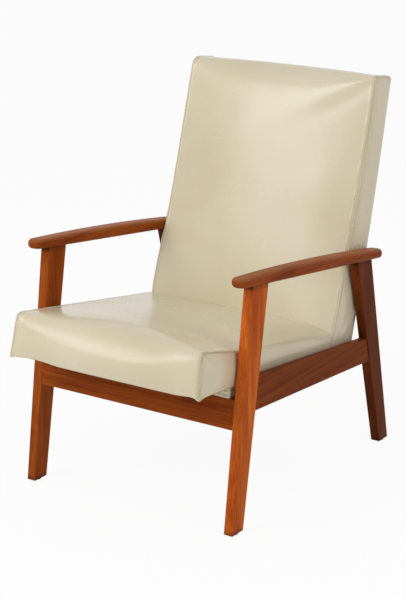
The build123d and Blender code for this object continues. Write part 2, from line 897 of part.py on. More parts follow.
# The outside back takes the rounded lower edge with it
def outside_corner():
    front = behind(back_rear, -small_corner_radius)
    rear = behind(back_rear, small_corner_radius)
    return space_between(front, rear, hem_level, above(base, small_corner_radius), cushion_x)


panel_x = cushion_x - vinyl_thickness
middle_slab = across_slab(-panel_x, panel_x)
right_slab = across_slab(panel_x, cushion_x + vinyl_thickness)
seat_cover_all = seat_skin()
back_cover_all = back_skin()
outside_slab = space_behind(behind(back_rear, -vinyl_thickness), cushion_x) + outside_corner()
hem_holes = tack_holes + both_sides(unit_holes)

seat_cover = bored(seat_cover_all & middle_slab, hem_holes)
seat_side_panel = seat_cover_all & right_slab
back_middle = bored(back_cover_all & middle_slab, hem_holes)
back_cover = back_middle - outside_slab
outside_back = back_middle & outside_slab
back_side_panel = back_cover_all & right_slab

front_foot = foot_place(front_leg_front, front_leg_rear)
back_foot = foot_place(back_leg_front, back_leg_rear)
leg_holes = arm_holes + side_holes + [glide_hole(front_foot), glide_hole(back_foot)]
front_leg_right = bored(leg(front_leg_front, front_leg_rear), leg_holes + front_holes + block_holes)
back_leg_right = bored(leg(back_leg_front, back_leg_rear), leg_holes)
side_rail_right = bored(side_rail(), side_holes + rear_holes + block_holes)
armrest_right = bored(armrest(), arm_holes)
front_block_right = bored(front_block(), block_holes + unit_holes)
rear_block_right = bored(rear_block(), block_holes + unit_holes)
seat_side_right = bored(seat_side(), seat_dowel_holes + bracket_holes + unit_holes + tack_holes)
stile_right = bored(stile(), back_dowel_holes + bracket_holes + strap_tack_holes)
bracket_right = bored(bracket(), bracket_holes)


glides = [glide(front_foot), glide(back_foot)]
straps = [bored(strap(height), both_sides(strap_tack_holes)) for height in strap_heights]
seat_member_holes = both_sides(seat_dowel_holes) + clip_nail_holes

pairs = {
    "front_leg": front_leg_right,
    "back_leg": back_leg_right,
    "side_rail": side_rail_right,
    "armrest": armrest_right,
    "front_corner_block": front_block_right,
    "rear_corner_block": rear_block_right,
    "seat_frame_side": seat_side_right,
    "seat_side_panel": seat_side_panel,
    "back_stile": stile_right,
    "back_side_panel": back_side_panel,
    "back_bracket": bracket_right,
}
singles = {
    "front_rail": bored(front_rail(), both_sides(front_holes + block_holes)),
    "rear_rail": bored(rear_rail(), both_sides(rear_holes + block_holes)),
    "front_bearer": bored(bearer(), both_sides(unit_holes)),
    "bearer_wrap": bearer_wrap(),
    "seat_frame_front": bored(seat_front_member(), seat_member_holes + tack_holes),
    "seat_spring_rail": bored(spring_rail(), seat_member_holes),
    "seat_insulator": insulator(),
    "seat_foam": seat_foam(),
    "seat_cover": seat_cover,
    "unit_lining": bored(lining(), hem_holes),
    "back_top_rail": bored(back_rail(top_rail_bottom, stile_top), both_sides(back_dowel_holes)),
    "back_lower_rail": bored(back_rail(lower_rail_bottom, lower_rail_top), both_sides(back_dowel_holes)),
    "back_foam": back_foam(),
    "back_cover": back_cover,
    "outside_back": outside_back,
    "back_board": back_board(),
}
groups = {
    "arm_dowels": both_sides(arm_dowels),
    "side_rail_dowels": both_sides(side_dowels),
    "front_rail_dowels": both_sides(front_dowels),
    "rear_rail_dowels": both_sides(rear_dowels),
    "leg_glides": both_sides(glides),
    "block_screws": both_sides(block_screws),
    "unit_screws": both_sides(unit_screws),
    "unit_washers": both_sides(unit_washers),
    "seat_frame_dowels": both_sides(seat_dowels),
    "seat_springs": springs,
    "spring_clips": clips,
    "clip_nails": clip_nails,
    "lining_tacks": tacks,
    "back_frame_dowels": both_sides(back_dowels),
    "back_webbing": straps,
    "webbing_tacks": both_sides(strap_tacks),
    "bracket_screws": both_sides(bracket_screws),
}

nodes = {}
for name, shape in pairs.items():
    nodes[name + "_right"] = group([shape])
    nodes[name + "_left"] = group([mirrored(shape)])
for name, shape in singles.items():
    nodes[name] = group([shape])
for name, shapes in groups.items():
    nodes[name] = group(shapes)

# The frame's origin is the middle of the whole chair's box, on the floor
box = Compound(children=[shape.moved(Location()) for shape in nodes.values()]).bounding_box()
to_origin = Pos(0, -(box.min.Y + box.max.Y) / 2, -box.min.Z)
for name, shape in nodes.items():
    export_step(to_origin * shape, f"parts/{name}.step")
for foot in (front_foot, back_foot):
    print("foot", (to_origin * foot).position)
print(len(nodes), "nodes, box", box.size)
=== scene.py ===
import bpy
import bmesh
import json
import math
import numpy as np
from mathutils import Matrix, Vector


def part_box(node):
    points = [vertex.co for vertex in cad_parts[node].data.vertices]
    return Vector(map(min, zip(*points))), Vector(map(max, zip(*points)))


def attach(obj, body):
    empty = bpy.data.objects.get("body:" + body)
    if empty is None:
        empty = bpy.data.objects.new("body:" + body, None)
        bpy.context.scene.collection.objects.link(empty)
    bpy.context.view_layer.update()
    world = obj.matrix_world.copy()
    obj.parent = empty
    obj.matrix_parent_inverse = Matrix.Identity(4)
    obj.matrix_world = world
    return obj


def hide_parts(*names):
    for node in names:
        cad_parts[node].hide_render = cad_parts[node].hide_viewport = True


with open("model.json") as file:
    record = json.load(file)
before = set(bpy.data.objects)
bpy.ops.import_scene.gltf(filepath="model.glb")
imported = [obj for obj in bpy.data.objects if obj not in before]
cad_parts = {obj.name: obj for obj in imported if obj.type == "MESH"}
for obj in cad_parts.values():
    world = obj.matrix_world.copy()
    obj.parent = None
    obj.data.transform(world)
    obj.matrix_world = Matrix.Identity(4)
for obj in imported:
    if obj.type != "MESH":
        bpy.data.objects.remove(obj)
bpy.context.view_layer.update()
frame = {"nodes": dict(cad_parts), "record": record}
nodes = frame["nodes"]
scene = bpy.context.scene
mm = 0.001
tiny = 1e-9                                           # keeps a division by a length safe
# midway between the feet, where the side view has its y = 0
midY = (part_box("front_leg_right")[0].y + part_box("back_leg_right")[1].y) / 2
print("frame loaded,", len(nodes), "nodes")


# a wrapped socket, so that a surface is written as an expression
class Wire:
    def __init__(self, tree, socket):
        self.tree = tree
        self.socket = socket

    def calc(self, operation, first, second):
        return addNode(self.tree, "ShaderNodeMath", {"operation": operation}, [first, second])

    def __add__(self, other):
        return self.calc("ADD", self, other)

    def __radd__(self, other):
        return self.calc("ADD", other, self)

    def __sub__(self, other):
        return self.calc("SUBTRACT", self, other)

    def __rsub__(self, other):
        return self.calc("SUBTRACT", other, self)

    def __mul__(self, other):
        return self.calc("MULTIPLY", self, other)

    def __rmul__(self, other):
        return self.calc("MULTIPLY", other, self)


# any node: its type, its settings first, then values or links of its sockets by name or number
def addNode(tree, kind, settings=None, sockets=(), out=0):
    node = tree.nodes.new(kind)
    for key, value in (settings or {}).items():
        setattr(node, key, value)
    for key, value in (sockets.items() if isinstance(sockets, dict) else enumerate(sockets)):
        if isinstance(value, Wire):
            tree.links.new(value.socket, node.inputs[key])
        elif value is not None:
            node.inputs[key].default_value = value
    return Wire(tree, node.outputs[out])


class Finish:
    def __init__(self, name):
        self.material = bpy.data.materials.new(name)
        self.material.use_nodes = True
        self.tree = self.material.node_tree
        self.shader = self.tree.nodes["Principled BSDF"]

    def node(self, kind, settings=None, sockets=(), out=0):
        return addNode(self.tree, kind, settings, sockets, out)

    def place(self, scale=(1, 1, 1), turn=(0, 0, 0)):
        coords = self.node("ShaderNodeTexCoord", out="Object")
        return self.node("ShaderNodeMapping", None, {"Vector": coords, "Rotation": turn, "Scale": scale})

    def noise(self, vector, detail=3.0, rough=0.5, bend=0.0):
        sockets = {"Vector": vector, "Scale": 1.0, "Detail": detail, "Roughness": rough, "Distortion": bend}
        return self.node("ShaderNodeTexNoise", None, sockets)

    def span(self, value, low, high, newLow=0.0, newHigh=1.0):
        return self.node("ShaderNodeMapRange", None, [value, low, high, newLow, newHigh])

    def mix(self, share, first, second):
        pair = [c if isinstance(c, Wire) else (*c, 1) for c in (first, second)]
        return self.node("ShaderNodeMix", {"data_type": "RGBA"}, {0: share, 6: pair[0], 7: pair[1]}, 2)

    def bump(self, height, strength, depth, under=None):
        sockets = {"Height": height, "Strength": strength, "Distance": depth, "Normal": under}
        return self.node("ShaderNodeBump", None, sockets)

    def parts(self, vector, axis):
        return self.node("ShaderNodeSeparateXYZ", None, [vector], axis)

    def done(self, **sockets):
        for key, value in sockets.items():
            socket = self.shader.inputs[key.replace("_", " ")]
            if isinstance(value, Wire):
                self.tree.links.new(value.socket, socket)
            else:
                socket.default_value = (*value, 1) if isinstance(value, tuple) else value
        return self.material


def screen(*levels):                                  # 0-255 screen levels to linear light
    parts = [level / 255 for level in levels]
    return tuple(p / 12.92 if p <= 0.04045 else ((p + 0.055) / 1.055) ** 2.4 for p in parts)


# oiled frame wood: broad figure, straight grain lines and short pores, all drawn out along the board
wood = {
    "light": screen(212, 110, 38), "dark": screen(146, 56, 16), "pore": screen(88, 32, 10),
    # the darkest colour serves the painted shade under the arm and the dark feet
    "rubbed": screen(196, 138, 98), "shadeAndFootDark": screen(30, 13, 7),
    "gloss": 0.42, "coat": 0.02, "coatGloss": 0.25, "shine": 0.03,
    "figure": (24.0, 1.7), "lines": (210.0, 7.0), "pores": (780.0, 45.0),   # cells per metre, across and along
    "patches": 11, "chips": 60, "poreDepth": 0.3, "edgeRadius": 3.5,
    "figureShare": 0.6, "poreShare": 0.35, "edgeShare": 0.3, "armShadeShare": 0.85, "footShare": 0.6,
    "armHeight": 541.5, "armSlope": 7.1, "armShadeReach": (13.0, 4.0),         # mm below the arm, where the painted shade is none and full
    "footReach": (20.0, 6.0), "footWave": 6.0,                              # mm above the floor, none and full
}


def stretched(sizes, along):                          # noise cells long on one axis, narrow on the others
    scale = [sizes[0]] * 3
    scale[along] = sizes[1]
    return tuple(scale)


def boardWood(name, along, turn=0.0, tint=1.0, worn=0.0, armShadeAndFeet=False):
    # colour runs from dark to light with figure and lines, pores darken it, edges and tops are rubbed lighter
    look, finish = wood, Finish(name)
    tilt = (math.radians(turn), 0, 0)
    figure = finish.noise(finish.place(stretched(look["figure"], along), tilt), 4.0, 0.55, 0.7)
    lines = finish.noise(finish.place(stretched(look["lines"], along), tilt), 3.0, 0.6, 0.2)
    pores = finish.noise(finish.place(stretched(look["pores"], along), tilt), 2.0, 0.6)
    share = look["figureShare"]
    tone = finish.span(figure, 0.34, 0.66) * share + finish.span(lines, 0.32, 0.68) * (1 - share)
    dark, light = [tuple(v * tint for v in look[key]) for key in ("dark", "light")]
    colour = finish.mix(tone, dark, light)
    pits = finish.span(pores, 0.56, 0.7)
    colour = finish.mix(pits * look["poreShare"], colour, look["pore"])
    normal = finish.node("ShaderNodeNewGeometry", out="Normal")
    if worn:                                          # hands rub the finish off the upper faces
        patches = finish.noise(finish.place([look["patches"]] * 3), 4.0, 0.6, 0.5)
        rubbed = finish.span(finish.parts(normal, 2), 0.1, 0.9) * finish.span(patches, 0.3, 0.7, 0.45, 1.0)
        colour = finish.mix(rubbed * worn, colour, look["rubbed"])
    rounded = finish.node("ShaderNodeBevel", {"samples": 4}, {"Radius": look["edgeRadius"] * mm})
    flat = finish.node("ShaderNodeVectorMath", {"operation": "DOT_PRODUCT"}, [rounded, normal], 1)
    chips = finish.noise(finish.place([look["chips"]] * 3), 3.0, 0.6)
    edge = finish.span(flat, 0.985, 0.86) * finish.span(chips, 0.35, 0.7, 0.2, 1.0)
    colour = finish.mix(edge * look["edgeShare"], colour, look["rubbed"])
    if armShadeAndFeet:                                         # painted shade under the arm, darkest on the front face
        place = finish.node("ShaderNodeTexCoord", out="Object")
        slope = math.tan(math.radians(look["armSlope"]))
        none, full = [reach * mm for reach in look["armShadeReach"]]
        below = (look["armHeight"] * mm + slope * midY) - slope * finish.parts(place, 1) - finish.parts(place, 2)
        armShade = finish.span(below, none, full) * finish.span(finish.parts(normal, 1), 0.2, -0.8, 0.25, 1.0)
        colour = finish.mix(armShade * look["armShadeShare"], colour, look["shadeAndFootDark"])
        none, full = [reach * mm for reach in look["footReach"]]   # and the foot is dark near the floor
        height = finish.parts(place, 2) + finish.span(figure, 0.3, 0.7) * (look["footWave"] * mm)
        colour = finish.mix(finish.span(height, none, full) * look["footShare"], colour, look["shadeAndFootDark"])
    gloss = finish.span(lines, 0.25, 0.75, look["gloss"] - 0.07, look["gloss"] + 0.08)
    relief = finish.bump(1 - pits, 0.2, look["poreDepth"] * mm)
    return finish.done(Base_Color=colour, Roughness=gloss, Normal=relief, Specular_IOR_Level=look["shine"],
                       Coat_Weight=look["coat"], Coat_Roughness=look["coatGloss"])


# cream sheet vinyl; sizes are cells per metre, depths are in mm
vinyl = {
    "cream": screen(225, 214, 185), "shade": screen(214, 200, 166), "soilAndShade": screen(180, 160, 120),
    "gloss": 0.25, "coat": 0.15, "coatGloss": 0.28, "scuffShare": 0.06, "seamSoilShadeShare": 0.62,
    "broad": (3.0, 3.4, 3.0), "scuffs": (9, 16, 13), "pulls": (7, 3.0, 5), "grain": 620.0,
    "pull": 0.12, "pullDepth": 12.0, "pebble": 0.1, "pebbleDepth": 0.1,
}


def creamVinyl(name):
    # pebbled grain from cells, broad yellowing, scuffs in the gloss, soil and painted shade where an attribute
    # marks the seams
    look, finish = vinyl, Finish(name)
    sockets = {"Vector": finish.place(), "Scale": look["grain"]}
    cells = finish.node("ShaderNodeTexVoronoi", {"feature": "SMOOTH_F1"}, sockets)
    broad = finish.noise(finish.place(look["broad"]), 2.0, 0.5)
    scuffs = finish.noise(finish.place(look["scuffs"]), 2.0, 0.5)
    colour = finish.mix(finish.span(broad, 0.4, 0.75), look["cream"], look["shade"])
    colour = finish.mix(finish.span(scuffs, 0.62, 0.85) * look["scuffShare"], colour, look["soilAndShade"])
    # soil and painted shade along the seams, read from the attribute
    seamSoilShade = finish.node("ShaderNodeAttribute", {"attribute_name": "seam"}, out="Fac")
    colour = finish.mix(seamSoilShade * look["seamSoilShadeShare"], colour, look["soilAndShade"])
    gloss = finish.span(scuffs, 0.25, 0.8, look["gloss"] - 0.03, look["gloss"] + 0.05)
    pulls = finish.noise(finish.place(look["pulls"]), 1.0, 0.3)
    pulled = finish.bump(pulls, look["pull"], look["pullDepth"] * mm)
    normal = finish.bump(cells, look["pebble"], look["pebbleDepth"] * mm, pulled)
    return finish.done(Base_Color=colour, Roughness=gloss, Normal=normal,
                       Coat_Weight=look["coat"], Coat_Roughness=look["coatGloss"])


# inner materials
def speckled(name, first, second, size, gloss, metal=0.0, depth=0.0003):
    # two close tones in a fine noise, with the same noise as a light relief
    finish = Finish(name)
    spots = finish.noise(finish.place((size, size, size)), 4.0, 0.6)
    colour = finish.mix(finish.span(spots, 0.3, 0.7), first, second)
    gloss = finish.span(spots, 0.3, 0.7, gloss - 0.06, gloss + 0.08)
    return finish.done(Base_Color=colour, Roughness=gloss, Metallic=metal, Normal=finish.bump(spots, 0.3, depth))


def woven(name, first, second, threads):
    # plain weave: one wave for each thread direction, multiplied
    finish = Finish(name)
    warp, weft = [finish.node("ShaderNodeTexWave", {"bands_direction": axis},
                              {"Vector": finish.place(), "Scale": threads}) for axis in "XY"]
    cross = warp * weft
    colour = finish.mix(cross, first, second)
    return finish.done(Base_Color=colour, Roughness=0.9, Normal=finish.bump(cross, 0.4, 0.0004))


cream = creamVinyl("cream vinyl")
thread = speckled("seam thread", screen(206, 192, 160), screen(186, 170, 136), 900, 0.8)
bareWood = speckled("bare softwood", screen(196, 164, 118), screen(170, 134, 88), 60, 0.8)
zinc = speckled("zinc steel", screen(150, 150, 148), screen(120, 120, 120), 300, 0.4, 1.0, 0.0001)
# finish by node, by node without its side, or by the record's slot; boards: axis along, slant, tint
finishes = {
    "front_leg_left": boardWood("left front leg wood", 2, 8.9, 0.7, armShadeAndFeet=True),
    "front_leg_right": boardWood("right front leg wood", 2, 8.9, 1.2, armShadeAndFeet=True),
    # the back legs' low tint is painted shade, darkening them as the arm and the back shade their front faces
    "back_leg": boardWood("back leg wood", 2, -14.0, 0.28, armShadeAndFeet=True),
    "armrest": boardWood("armrest wood", 1, -7.1, 0.6, worn=0.45),
    "side_rail": boardWood("side rail wood", 1, -4.9, 0.44),
    "front_rail": boardWood("front rail wood", 0, 0.0, 0.66),
    "rear_rail": boardWood("rear rail wood", 0, 0.0, 0.6),
    "leg_glides": speckled("dark glides", screen(52, 38, 28), screen(34, 25, 19), 300, 0.6),
    "cream_vinyl": cream,
    "foam": speckled("foam", screen(222, 204, 150), screen(204, 184, 128), 500, 0.95),
    "felt": speckled("jute felt", screen(140, 116, 84), screen(104, 84, 58), 700, 0.95),
    "hardboard": speckled("hardboard", screen(112, 74, 46), screen(92, 58, 34), 400, 0.7),
    "lining": woven("black lining", screen(34, 33, 32), screen(14, 14, 14), 420.0),
    "webbing": woven("elastic webbing", screen(92, 64, 40), screen(40, 28, 20), 220.0),
    "steel": zinc, "raw_wood": bareWood,
}
slots = {part["node"]: part["material_slot"] for part in frame["record"]["subparts"]}
for name, part in nodes.items():
    own = name.removesuffix("_right").removesuffix("_left")
    part.data.materials.clear()
    part.data.materials.append(finishes.get(name) or finishes.get(own) or finishes[slots[name]])
print("finishes on", len(nodes), "nodes")


# mesh helpers
def newPiece(name, points, faces, finish, smooth=True):
    mesh = bpy.data.meshes.new(name)
    mesh.from_pydata(points.tolist(), [], faces.tolist())
    mesh.materials.append(finish)
    mesh.polygons.foreach_set("use_smooth", np.full(len(mesh.polygons), smooth))
    bm = bmesh.new()
    bm.from_mesh(mesh)
    bmesh.ops.recalc_face_normals(bm, faces=bm.faces)
    bm.to_mesh(mesh)
    bm.free()
    piece = bpy.data.objects.new(name, mesh)
    scene.collection.objects.link(piece)
    return piece


def gridFaces(index):
    # quads between the neighbours of a grid of point numbers
    return np.stack([index[:-1, :-1], index[1:, :-1], index[1:, 1:], index[:-1, 1:]], -1).reshape(-1, 4)


def pointsOf(mesh, key="co"):
    flat = np.empty(len(mesh.vertices) * 3)
    mesh.vertices.foreach_get(key, flat)
    return flat.reshape(-1, 3)


def toFrame(points):                                  # mm from the point midway between the feet to the frame
    return points * mm + np.array([0, midY, 0])


def unitRows(vectors):
    return vectors / np.maximum(np.linalg.norm(vectors, axis=-1, keepdims=True), tiny)


def smoothStep(low, high, value):
    t = np.clip((value - low) / (high - low), 0, 1)
    return t * t * (3 - 2 * t)


def subdivide(piece, levels=1):
    mod = piece.modifiers.new("smooth", "SUBSURF")
    mod.levels = mod.render_levels = levels


# lines of the side view: an edge is y = a + b z, a level is z = h + k y
def edgeFrom(y, z, degrees):
    slant = math.tan(math.radians(degrees))
    return (y - z * slant, slant)


def levelFrom(z, degrees):
    return (z, -math.tan(math.radians(degrees)))


def behind(edge, distance):
    return (edge[0] + distance * math.hypot(1, edge[1]), edge[1])


def above(level, distance):
    return (level[0] + distance * math.hypot(1, level[1]), level[1])


def meet(edge, level):
    z = (level[0] + level[1] * edge[0]) / (1 - level[1] * edge[1])
    return np.array([edge[0] + edge[1] * z, z])


# the upholstered unit's lines in mm and degrees, and what is told about each cushion
unit = {
    "base": (316.5, 5.14), "hem": 1.5, "crease": 0.5, "cornerSteps": 9, "bunch": 0.94,
    "backFront": (118.0, 355.0, 17.65), "backRear": (231.0, 314.0, 14.6), "backTop": (999.0, 8.0),
    "seatFront": (-452.0, 356.0, 7.4), "seatTop": (373.0, 10.7), "tipAt": -430.0,
}
# drop and draw set a line below the top and behind the front, tip turns the seat's top line about its front;
# tuck draws the left and right seams in, eased is its axis and where it is none and full;
# sewn is an axis, where the sewing is weak and full, and the weak share;
# room is how far the sides may swell beside the arms and below them, width is how soon the seams fall off;
# steps are points along front, top, rear and bottom, and opposite sides need equal counts;
# a push moves the skin near a line from one point to another, with its width and its move
seat = {
    "left": {"drop": 1.0, "tip": 1.5, "draw": 1.0, "rear": 4.0,
             "roll": 9.0, "corner": 4.0, "frontBow": 2.0, "topBow": 2.0},
    "middle": {"drop": -1.0, "tip": 1.8, "draw": -3.0, "rear": -6.0,
               "roll": 46.0, "corner": 8.0, "frontBow": 3.0, "topBow": 3.0},
    "right": {"drop": 2.0, "tip": 0.0, "draw": 1.0, "rear": 14.0,
              "roll": 9.0, "corner": 4.0, "frontBow": 2.0, "topBow": -5.0},
    "half": 266.0, "rearBow": 0.0, "bulge": 2.5, "flat": 0.4, "width": (15.0, 22.0), "inset": 17.0,
    "tuck": (3.0, 5.0), "eased": (1, 110, -40), "sewn": (1, -180, -340, 0.3), "room": (6.0, 6.0),
    "columns": 61, "steps": (14, 46, 14, 46), "pressure": 4.0, "cap": 24.0, "fill": 0.85,
    "pushes": [
        ((-120, -446, 316), (190, -446, 316), 48, (0, 0, -11)),
        ((262, -452, 352), (262, -452, 352), 13, (0, -3, -5)),
        ((262, -440, 452), (262, -440, 452), 15, (1, -2, 3)),
        ((-262, -456, 350), (-262, -456, 350), 34, (0, -12, -1)),
        ((-262, -438, 455), (-262, -438, 455), 30, (0, 6, 0)),
        ((280, 95, 355), (280, 95, 355), 50, (0, -4, -10)),
        ((225, -250, 435), (150, -90, 400), 60, (0, 0, -9)),
        ((190, -400, 450), (190, -400, 450), 60, (0, 0, 5)),
    ],
}
back = {
    "left": {"drop": 2.0, "draw": -4.0, "roll": 22.0, "corner": 5.0, "frontBow": -4.0, "topBow": 0.0},
    "middle": {"drop": 4.0, "draw": -4.0, "roll": 30.0, "corner": 5.0, "frontBow": -4.0, "topBow": 0.0},
    "right": {"drop": 3.0, "draw": 15.0, "roll": 12.0, "corner": 5.0, "frontBow": -12.0, "topBow": 0.0},
    "half": 265.5, "rearBow": 7.0, "bulge": 1.0, "flat": 0.4, "width": (14.0, 18.0), "inset": 17.0,
    "tuck": (2.0, 6.0), "eased": (2, 400, 500), "sewn": (2, 360, 430, 0.6), "room": (1.4, 5.0),
    "columns": 61, "steps": (54, 8, 54, 8), "pressure": 4.0, "cap": 24.0, "fill": 0.8,
    "pushes": [
        ((268, 150, 345), (268, 215, 440), 11, (5, 0, 0)),
        ((268, 128, 385), (268, 165, 460), 9, (4, 0, 0)),
        ((268, 190, 345), (268, 235, 390), 10, (4, 0, 0)),
        ((262, 118, 352), (262, 150, 440), 12, (0, 3, 0)),
        ((-264, 128, 400), (-264, 150, 490), 55, (-1, -7, 0)),
    ],
}
air = {                                               # the cloth that swells a cushion
    "frames": 20, "quality": 4, "mass": 0.3, "stretch": 25, "shear": 8, "bend": 2.0,
    "armLine": (480.0, 450.0),                        # heights where the room changes
}
# distances from the seam, with the widths and heights of what lies there; soil and painted shade: in the groove,
# the row and the fade
seam = {
    "band": 5.0, "fade": 9.5, "rise": 2.1, "groove": 2.2, "grooveWidth": 1.2,
    "row": 4.6, "dip": 1.1, "dipWidth": 1.2, "soilShadeWidths": (1.5, 1.4, 2.0), "soilShadeShares": (1.0, 0.8, 0.3),
    "stitch": 5.0, "gap": 2.4, "thick": 0.5, "proud": 0.3, "sink": 0.9,
    "pucker": 0.5, "puckerPitch": 15.0, "puckerAt": 8.0, "puckerWidth": 5.0,
}
baseLevel = above(levelFrom(*unit["base"]), -unit["hem"])
backFront, backRear, seatFront = [edgeFrom(*unit[key]) for key in ("backFront", "backRear", "seatFront")]
backTop = levelFrom(*unit["backTop"])


def roundedLoop(corners, radii, bows, steps):
    # arcs tangent to both sides at the corners, joined by runs that bow outwards as 4 t (1 - t)
    count = len(corners)
    arcs, pieces = [], []
    for i in range(count):
        p, before, after = corners[i], corners[i - 1], corners[(i + 1) % count]
        a, b = unitRows(before - p), unitRows(after - p)
        half = math.acos(np.clip(a @ b, -1, 1)) / 2
        centre = p + unitRows(a + b) * radii[i] / math.sin(half)
        start, end = p + a * radii[i] / math.tan(half), p + b * radii[i] / math.tan(half)
        first = math.atan2(*(start - centre)[::-1])
        sweep = (math.atan2(*(end - centre)[::-1]) - first + math.pi) % (2 * math.pi) - math.pi
        angle = first + sweep * np.linspace(0, 1, unit["cornerSteps"])
        arcs.append(centre + radii[i] * np.stack([np.cos(angle), np.sin(angle)], -1))
    for i in range(count):
        t = np.linspace(0, 1, steps[i] + 2)[1:-1, None]
        run = arcs[(i + 1) % count][0] - arcs[i][-1]
        outward = np.array([-run[1], run[0]]) / np.linalg.norm(run)
        pieces += [arcs[i], arcs[i][-1] + run * t + outward * bows[i] * 4 * t * (1 - t)]
    return np.concatenate(pieces)


def tipped(height, degrees, tip, y):                  # a level turned up at the rear about its point at y
    slope, newSlope = [math.tan(math.radians(d)) for d in (degrees, degrees - tip)]
    return (height - (slope - newSlope) * y, -newSlope)


def seatCorners(line, inset=0.0):
    front = behind(seatFront, line["draw"] + inset)
    top = above(tipped(*unit["seatTop"], line["tip"], unit["tipAt"]), -line["drop"] - inset)
    rear, bottom = behind(backFront, line["rear"] - unit["crease"] - inset), above(baseLevel, inset)
    return np.array([meet(front, bottom), meet(front, top), meet(rear, top), meet(rear, bottom)])


def backCorners(line, inset=0.0):
    front, top = behind(backFront, line["draw"] + inset), above(backTop, -line["drop"] - inset)
    rear, bottom = behind(backRear, -inset), above(baseLevel, inset)
    return np.array([meet(front, bottom), meet(front, top), meet(rear, top), meet(rear, bottom)])


def outline(look, cornersOf, pick):
    line = look[pick]
    radii = [line["corner"], line["roll"], line["corner"], line["corner"]]
    bows = [line["frontBow"], line["topBow"], look["rearBow"], 0]
    return roundedLoop(cornersOf(line), radii, bows, look["steps"])


def tuckRows(look, loop, side):
    # the seam is drawn in by the tuck along the sewn front and top, not along the tacked rear and bottom
    axis, none, full = look["eased"]
    walk = np.zeros(len(loop))
    rows = rowsBetween(look, 0, 2)
    step = np.arange(len(rows))
    walk[rows] = smoothStep(0, 1, np.minimum(step, step[::-1]) / unit["cornerSteps"])
    ease = smoothStep(0, 1, (loop[:, axis - 1] - none) / (full - none))
    return look["tuck"][side] * walk * ease


def mainPanel(look, left, middle, right):
    # point = seam + (middle - seam) f, with f = 1 - c s squared - (1 - c) exp(-distance from the seam / width)
    half, c = look["half"], look["flat"]
    bunch = math.pi / 2 * unit["bunch"]
    s = np.sin(np.linspace(-1, 1, look["columns"]) * bunch) / math.sin(bunch)
    drawn = np.where(s < 0, tuckRows(look, left, 0)[:, None], tuckRows(look, right, 1)[:, None])
    width = np.where(s < 0, *look["width"])
    f = (1 - c * s ** 2 - (1 - c) * np.exp(-(1 - np.abs(s)) * half / width))[None, :, None]
    edge = np.where((s < 0)[None, :, None], left[:, None], right[:, None])
    plan = edge + (middle[:, None] - edge) * f
    return np.concatenate([(s * (half - drawn))[..., None], plan], -1)


def pushed(points, pushes):
    # move times exp of minus (distance to the line / width) squared
    for first, last, width, move in pushes:
        a, run = np.array(first, float), np.array(last, float) - first
        t = np.clip(((points - a) @ run) / max(run @ run, tiny), 0, 1)[:, None]
        gone = np.linalg.norm(points - a - t * run, axis=1, keepdims=True)
        points = points + np.array(move, float) * np.exp(-(gone / width) ** 2)
    return points


ringShares = np.array([0.12, 0.25, 0.38, 0.52, 0.72, 1.0])   # from the seam to the inner outline


def arcStarts(look):                                  # first row of each corner's arc, and the count of rows
    return np.cumsum([0] + [unit["cornerSteps"] + n for n in look["steps"]])


def cornerRows(look):                                 # row numbers at the middle of each corner's arc
    starts = arcStarts(look)
    return starts[:-1] + unit["cornerSteps"] // 2, starts[-1]


def sidePanel(look, edgeLoop, innerCorners, drawn):
    # rings run from the seam to a straight-sided inner outline, which a blend of its four corners fills;
    # the panel comes out from the seam as a quarter-round, and bulges as (1 - u squared)(1 - v squared)
    at, rows = cornerRows(look)
    inner = np.empty_like(edgeLoop)
    for i in range(4):
        count = (at[(i + 1) % 4] - at[i]) % rows
        t = np.arange(count)[:, None] / count
        inner[(at[i] + np.arange(count)) % rows] = innerCorners[i] * (1 - t) + innerCorners[(i + 1) % 4] * t
    t = ringShares[None, :, None]
    rings = edgeLoop[:, None] * (1 - t) + inner[:, None] * t
    up, along = (at[1] - at[0]) + 1, (at[2] - at[1]) + 1
    u, v = np.linspace(0, 1, up)[:, None, None], np.linspace(0, 1, along)[None, :, None]
    a, b, c, d = innerCorners
    fill = a * (1 - u) * (1 - v) + b * u * (1 - v) + c * u * v + d * (1 - u) * v
    out = look["half"] - drawn[:, None, None] * (1 - np.sqrt(1 - (1 - t) ** 2))
    swollen = look["half"] + look["bulge"] * (1 - (2 * u - 1) ** 2) * (1 - (2 * v - 1) ** 2)
    return np.concatenate([out, rings], -1), np.concatenate([swollen, fill], -1)


def rowsBetween(look, first, last):                   # rows from one corner's arc to another's, both included
    starts = arcStarts(look)
    begin, end = starts[first], starts[last] + unit["cornerSteps"]
    return np.arange(begin, end if end > begin else end + starts[-1]) % starts[-1]


